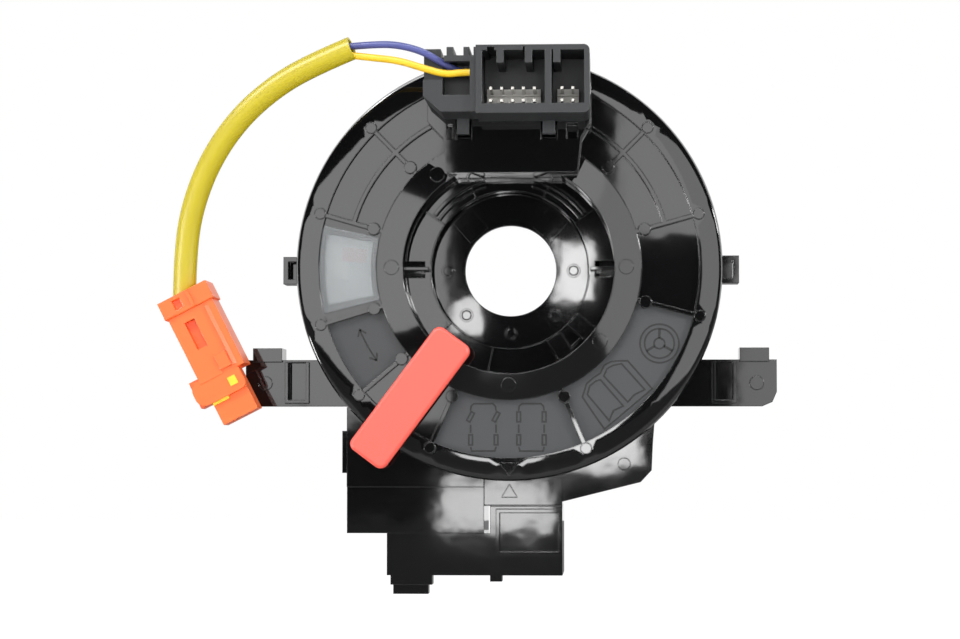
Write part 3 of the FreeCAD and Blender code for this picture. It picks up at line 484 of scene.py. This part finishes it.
# Two pictures of a car's wheels from above: first turned, then straight ahead
WHEEL_PICTURES = [(-6.2, -28.0), (5.5, 0.0)]
TRACK_HALF = 3.1
NOSE, NOSE_CORNER, TAIL, TAIL_CORNER = -33.2, -34.9, -44.7, -43.7
FRONT_AXLE, REAR_AXLE = -36.4, -42.0
TYRE_WIDTH, TYRE_LENGTH = 0.9, 2.4
lines = []
for middle, steer in WHEEL_PICTURES:
    left, right = middle - TRACK_HALF, middle + TRACK_HALF
    lines.append(line_on([(left, NOSE_CORNER), (left + 0.15, NOSE - 0.6), (left + 0.8, NOSE), (right - 0.8, NOSE),
                          (right - 0.15, NOSE - 0.6), (right, NOSE_CORNER)], -PANEL_DEPTH))
    lines.append(line_on([(left, TAIL_CORNER), (left + 0.3, TAIL), (right - 0.3, TAIL), (right, TAIL_CORNER)],
                         -PANEL_DEPTH))
    for side in (left, right):
        lines.append(line_on(block_at(side, FRONT_AXLE, TYRE_WIDTH, TYRE_LENGTH, steer), -PANEL_DEPTH, closed=True))
        lines.append(line_on(block_at(side, REAR_AXLE, TYRE_WIDTH, TYRE_LENGTH), -PANEL_DEPTH, closed=True))
        lines.append(line_on([(side, FRONT_AXLE - 1.9), (side, REAR_AXLE + 1.7)], -PANEL_DEPTH))

# An open book and a steering wheel, in outline
BOOK = [(17.9, -31.6), (23.2, -39.4), (34.8, -29.6), (28.9, -22.8), (26.7, -22.8), (24.9, -23.0), (23.2, -23.9),
        (22.3, -25.8), (20.6, -26.9), (18.9, -28.4)]
LEFT_PAGE = [(19.1, -31.0), (19.7, -28.9), (21.2, -27.7), (22.3, -27.4), (27.8, -33.8), (25.4, -34.9), (24.4, -37.3)]
RIGHT_PAGE = [(23.1, -26.5), (23.9, -24.7), (25.4, -23.9), (27.4, -23.5), (33.0, -29.8), (30.4, -31.1), (28.9, -32.8)]
WHEEL = (36.6, -18.6)
WHEEL_OUTER, WHEEL_INNER, WHEEL_HUB = 4.7, 3.6, 1.3
SPOKE_ANGLES = (330, 210, 90)
SPOKE_WIDTH = 0.6
for outline in (BOOK, LEFT_PAGE, RIGHT_PAGE):
    lines.append(line_on(outline, -PANEL_DEPTH, closed=True))
for radius in (WHEEL_OUTER, WHEEL_INNER, WHEEL_HUB):
    lines.append(line_on(arc(*WHEEL, radius, 0, 350, 36), -PANEL_DEPTH, closed=True))
for angle in SPOKE_ANGLES:
    ends = [np.add(WHEEL, polar(radius, angle)) for radius in (WHEEL_HUB, WHEEL_INNER)]
    lines.append(line_on(ends, -PANEL_DEPTH, width=SPOKE_WIDTH))
# A turn arrow with a head at both ends
ARROW_RADIUS = 39.4
ARROW_START, ARROW_END = 202.5, 215.0
HEAD_RADII = (38.3, 40.5)
HEAD_TURN = 2.2
lines.append(line_on(arc(0.0, 0.0, ARROW_RADIUS, ARROW_START, ARROW_END), -PANEL_DEPTH))
for angle, foot in ((ARROW_START, ARROW_START + HEAD_TURN), (ARROW_END, ARROW_END - HEAD_TURN)):
    inner, outer = [polar(radius, foot) for radius in HEAD_RADII]
    lines.append(line_on([inner, polar(ARROW_RADIUS, angle), outer], -PANEL_DEPTH))
part_of("panel_symbols", lines, line_black)


# Bore plate, moulded in one with the hub: two spring tongues beside the bore and five round marks
# that the tool's pins leave, each a low step with a smaller one on it.
PLATE_LEVEL = -15.0
PLATE_SEAT = PLATE_LEVEL - 0.02
TONGUE_ANGLES = (49.5, 131.5)
TONGUE_MIDDLE, TONGUE_LENGTH, TONGUE_WIDTH, TONGUE_RISE = 15.2, 7.0, 6.2, 0.2
MARK_ANGLES = (0, 180, 225, 270, 315)
MARK_PLACE = 15.6
MARK_STEPS = [(1.75, 0.12), (1.1, 0.24)]
plate_parts = []
for angle in TONGUE_ANGLES:
    tongue = block_at(*polar(TONGUE_MIDDLE, angle), TONGUE_LENGTH, TONGUE_WIDTH, angle)
    plate_parts.append(slab(tongue, PLATE_SEAT, PLATE_LEVEL + TONGUE_RISE))
for angle in MARK_ANGLES:
    for radius, rise in MARK_STEPS:
        plate_parts.append(slab(arc(*polar(MARK_PLACE, angle), radius, 0, 345, 24), PLATE_SEAT, PLATE_LEVEL + rise))
part_of("bore_plate_marks", plate_parts, gloss_black)


# Hub ledge and the ring round it: stiffening walls on the ledge, a fine lip along its inner edge,
# a second wall outside the latches, and round marks from the tool's pins on the ring
LEDGE_LEVEL = -9.0
LEDGE_INNER = 19.4
SUNK = 0.05
LEDGE_WALLS = [35.5, 65.0, 115.0, 145.5, 222.0, 258.0, 297.5, 325.5]
WALL_THICK, WALL_RISE = 0.55, 1.4
LIP_SPANS = [(37.0, 143.0), (147.0, 176.0), (184.0, 295.0), (328.0, 356.0)]
LIP_THICK, LIP_RISE = 0.4, 0.35
CURVED_WALLS = [(21.0, 36.0, 75.0, 2.0), (21.0, 106.0, 145.0, 2.0), (24.2, 298.0, 325.0, 4.0)]
CURVED_THICK = 0.6
PIN_MARKS = [0.0, 127.6, 180.0, 270.0, 320.8]
PIN_PLACE, PIN_RADIUS, PIN_RISE = 28.6, 1.9, 0.12


def band(inner, outer, start, end, low, high):
    """Part of a flat ring between two radii, two angles and two levels, with a point every four degrees."""
    count = max(2, int((end - start) / 4))
    return slab(arc(0.0, 0.0, outer, start, end, count) + arc(0.0, 0.0, inner, end, start, count), low, high)


def bar(angle, inner, outer, width, low, high):
    """A bar along a radius."""
    place = polar((inner + outer) / 2, angle)
    return slab(block_at(*place, outer - inner, width, angle), low, high)


ledge_parts = [bar(angle, LEDGE_INNER + 2 * SUNK, WELL_EDGE + 2 * SUNK, WALL_THICK, LEDGE_LEVEL - 2 * SUNK,
                   LEDGE_LEVEL + WALL_RISE) for angle in LEDGE_WALLS]
ledge_parts += [band(LEDGE_INNER + SUNK, LEDGE_INNER + LIP_THICK, start, end, LEDGE_LEVEL - SUNK,
                     LEDGE_LEVEL + LIP_RISE) for start, end in LIP_SPANS]
ledge_parts += [band(radius, radius + CURVED_THICK, start, end, LEDGE_LEVEL - SUNK, LEDGE_LEVEL + rise)
                for radius, start, end, rise in CURVED_WALLS]
part_of("ledge_walls", ledge_parts, gloss_black)
pin_marks = [slab(arc(*polar(PIN_PLACE, angle), PIN_RADIUS, 0, 348, 30), -SUNK, PIN_RISE) for angle in PIN_MARKS]
part_of("pin_marks", pin_marks, annulus_black)


# Snap loops of the case: a thin web closes each loop behind its slot, moulded with the loop
WEB_PLACE, WEB_WIDTH, WEB_HEIGHT = 52.75, 5.1, 4.6
WEB_REAR, WEB_FRONT = -17.9, -16.4
webs = [slab(block_at(side * WEB_PLACE, 0.0, WEB_WIDTH, WEB_HEIGHT), WEB_REAR, WEB_FRONT) for side in (-1, 1)]
part_of("loop_backs", webs, case_black, body="stator")


# Behind the sight window: a strip of the roller carrier, moulded in pale grey polyester, that
# carries the red flag past the pane as the ribbon winds.
STRIP = [(-39.6, -8.6), (-34.4, -8.6), (-34.4, 2.0), (-39.6, 2.0)]
STRIP_REAR, STRIP_FRONT = -5.15, -4.75
strip_grey = plastic("moulded_polyester_pale_grey", "#8d9292", 0.5, 1.0, 0.01, edge=0.1)
part_of("flag_strip", [slab(STRIP, STRIP_REAR, STRIP_FRONT)], strip_grey, body="carrier")


# Airbag plug: the slope beside its plateau, the slide housing below it with the yellow slide that
# shows in it, and the collar's rib. Places are across and along the plug, turned to its lean.
PLUG_PLACE = (-78.1, -6.6)
PLUG_LEAN = 27.0
BODY_FRONT = 13.0
SLOPE_FOOT = 11.3
SLIDE_REAR, SLIDE_FRONT = 9.0, 12.3


def on_plug(outline):
    """Places across and along the plug, as places on the face."""
    angle = math.radians(PLUG_LEAN)
    return [(PLUG_PLACE[0] + u * math.cos(angle) - v * math.sin(angle),
             PLUG_PLACE[1] + u * math.sin(angle) + v * math.cos(angle)) for u, v in outline]


def box_on_plug(left, right, lower, upper, low, high):
    """A box that lies square to the plug, between two levels."""
    return slab(on_plug([(left, lower), (right, lower), (right, upper), (left, upper)]), low, high)


slide_outline = (arc(-6.2, -24.8, 2.4, 180, 270, 8) + arc(2.6, -25.6, 1.6, 270, 360, 8)
                 + arc(2.6, -22.6, 1.6, 0, 90, 8) + arc(-6.2, -23.4, 2.4, 90, 180, 8))
plug_parts = [
    slab(on_plug([(3.4, -21.2), (5.9, -21.2), (5.9, -5.4), (3.4, -5.4)]), SLOPE_FOOT, BODY_FRONT,
         upper=on_plug([(3.4, -21.2), (3.5, -21.2), (3.5, -5.4), (3.4, -5.4)])),
    box_on_plug(0.1, 3.1, -21.0, -17.2, BODY_FRONT - 1.0, BODY_FRONT),
    slab(on_plug(slide_outline), SLIDE_REAR, SLIDE_FRONT),
    box_on_plug(0.9, 1.7, -4.4, -0.2, BODY_FRONT - 0.2, BODY_FRONT + 0.5),
    box_on_plug(-6.5, -3.9, -4.4, -3.9, BODY_FRONT - 0.2, BODY_FRONT + 0.4),
]
plug_details = part_of("plug_details", plug_parts, orange)
slide_parts = [box_on_plug(0.5, 2.5, -25.6, -23.4, SLIDE_FRONT - 0.1, SLIDE_FRONT + 0.2),
               box_on_plug(-5.4, -1.2, -27.9, -26.9, SLIDE_REAR, SLIDE_FRONT - 0.5)]
slide_ends = part_of("slide_ends", slide_parts, lock_yellow)


# Studio: white surroundings behind the object, two broad soft lamps beside the lens that the flat
# face mirrors as grey, and smaller, brighter lamps above and at the sides for the edges.
WHITE = (1.0, 1.0, 1.0, 1.0)
AMBIENT = 0.32
DIM = 0.03
# Directions that point this far back or forth mark where the dim front turns into the bright back
DIM_EDGE, BRIGHT_EDGE = -0.15, 0.25
world = bpy.data.worlds.new("studio")
bpy.context.scene.world = world
world.use_nodes = True
world.node_tree.nodes.clear()
rays = add_node(world, "ShaderNodeLightPath")
direction = add_node(world, "ShaderNodeTexCoord")
split = add_node(world, "ShaderNodeSeparateXYZ", links={"Vector": direction.outputs["Generated"]})
behind = add_node(world, "ShaderNodeMapRange", {"From Min": DIM_EDGE, "From Max": BRIGHT_EDGE, "To Min": DIM,
                                                 "To Max": 1.0}, {"Value": split.outputs["Y"]})
mirrored = add_node(world, "ShaderNodeMix", {"A": AMBIENT}, {"Factor": rays.outputs["Is Glossy Ray"],
                                                           "B": behind.outputs[0]})
seen = add_node(world, "ShaderNodeMath", links={0: rays.outputs["Is Camera Ray"],
                                                1: rays.outputs["Is Transmission Ray"]}, operation="MAXIMUM")
level = add_node(world, "ShaderNodeMix", {"B": 1.0}, {"Factor": seen.outputs[0], "A": mirrored.outputs[0]})
background = add_node(world, "ShaderNodeBackground", {"Color": WHITE}, {"Strength": level.outputs[0]})
output = add_node(world, "ShaderNodeOutputWorld", links={"Surface": background.outputs[0]})


def lamp(name, place, width, height, level, aim=None, lights=True):
    """A soft lamp of one width and height in millimetres; level is its brightness beside white.

    Its power is its level times four and times its area. Without an aim it faces straight back at
    the object. A lamp that lights nothing is only mirrored.
    """
    data = bpy.data.lights.new(name, "AREA")
    data.shape = "RECTANGLE"
    data.size, data.size_y = width / 1000, height / 1000
    data.energy = level * 4 * (width / 1000) * (height / 1000)
    item = stand(bpy.data.objects.new(name, data), place, aim or (place[0], place[1], 0.0))
    item.visible_diffuse = lights


# Cards beside the lens, in its plane: right, up, width, height and level. The first three grey the
# face, and the small, bright ones draw the white patches on the housing, the rim and the bore plate.
CARD_PLANE = 884.0
CARDS = {
    "card_left": (-285.0, 65.0, 430.0, 190.0, 3.4),
    "card_right": (300.0, 70.0, 410.0, 280.0, 2.6),
    "card_upper_right": (62.0, 140.0, 70.0, 130.0, 3.2),
    "card_low": (-42.0, -80.0, 60.0, 28.0, 11.0),
    "card_rim": (9.0, -44.0, 62.0, 28.0, 14.0),
    "card_hub_right": (2.5, 56.0, 21.0, 36.0, 16.0),
    "card_hub_left": (-60.0, 30.0, 14.0, 20.0, 14.0),
}
for name, (right, up, width, height, level) in CARDS.items():
    lamp(name, (right, up, CARD_PLANE), width, height, level)
# Keys round the object, aimed at the bore: place, width, height and level
BORE = (0.0, 0.0, 0.0)
KEYS = {
    "key_above": ((-300.0, 700.0, 600.0), 320.0, 320.0, 12.0),
    "key_right": ((760.0, 250.0, 500.0), 260.0, 420.0, 11.0),
    "key_left": ((-800.0, -150.0, 420.0), 240.0, 420.0, 10.0),
    "key_below": ((150.0, -600.0, 500.0), 500.0, 160.0, 7.0),
}
for name, (place, width, height, level) in KEYS.items():
    lamp(name, place, width, height, level, aim=BORE)
# Glints: six narrow tubes round the object, which only draw its polished edges
TUBE_COUNT = 6
TUBE_START = 15.0
TUBE_PLACE, TUBE_OUT = 700.0, 330.0
TUBE_LENGTH, TUBE_WIDTH, TUBE_LEVEL = 560.0, 70.0, 30.0
for number in range(TUBE_COUNT):
    place = (*polar(TUBE_PLACE, TUBE_START + 360 / TUBE_COUNT * number), TUBE_OUT)
    lamp(f"tube_{number + 1}", place, TUBE_LENGTH, TUBE_WIDTH, TUBE_LEVEL, aim=BORE, lights=False)

# Floor: plain and pale, white to the camera where nothing shades it. The object is held by its
# lugs, so the floor lies well below it.
FLOOR_DROP = 160.0
FLOOR_HALF = 6.0
floor_up = cad_low[2] - FLOOR_DROP / 1000
corners = [(-FLOOR_HALF, -FLOOR_HALF, floor_up), (FLOOR_HALF, -FLOOR_HALF, floor_up),
           (FLOOR_HALF, FLOOR_HALF, floor_up), (-FLOOR_HALF, FLOOR_HALF, floor_up)]
floor_mesh = bpy.data.meshes.new("floor")
floor_mesh.from_pydata(corners, [], [(0, 1, 2, 3)])
floor = bpy.data.objects.new("floor", floor_mesh)
bpy.context.scene.collection.objects.link(floor)
floor_paint = bpy.data.materials.new("matte_white_paint")
floor_paint.use_nodes = True
floor_paint.node_tree.nodes.clear()
floor_rays = add_node(floor_paint, "ShaderNodeLightPath")
paint = add_node(floor_paint, "ShaderNodeBsdfDiffuse", {"Color": linear("#d8d8d8")})
glow = add_node(floor_paint, "ShaderNodeEmission", {"Color": WHITE, "Strength": 0.85})
both = add_node(floor_paint, "ShaderNodeAddShader", links={0: paint.outputs[0], 1: glow.outputs[0]})
floor_shown = add_node(floor_paint, "ShaderNodeMixShader",
                       links={0: floor_rays.outputs["Is Camera Ray"], 1: paint.outputs[0], 2: both.outputs[0]})
add_node(floor_paint, "ShaderNodeOutputMaterial", links={"Surface": floor_shown.outputs[0]})
floor_mesh.materials.append(floor_paint)
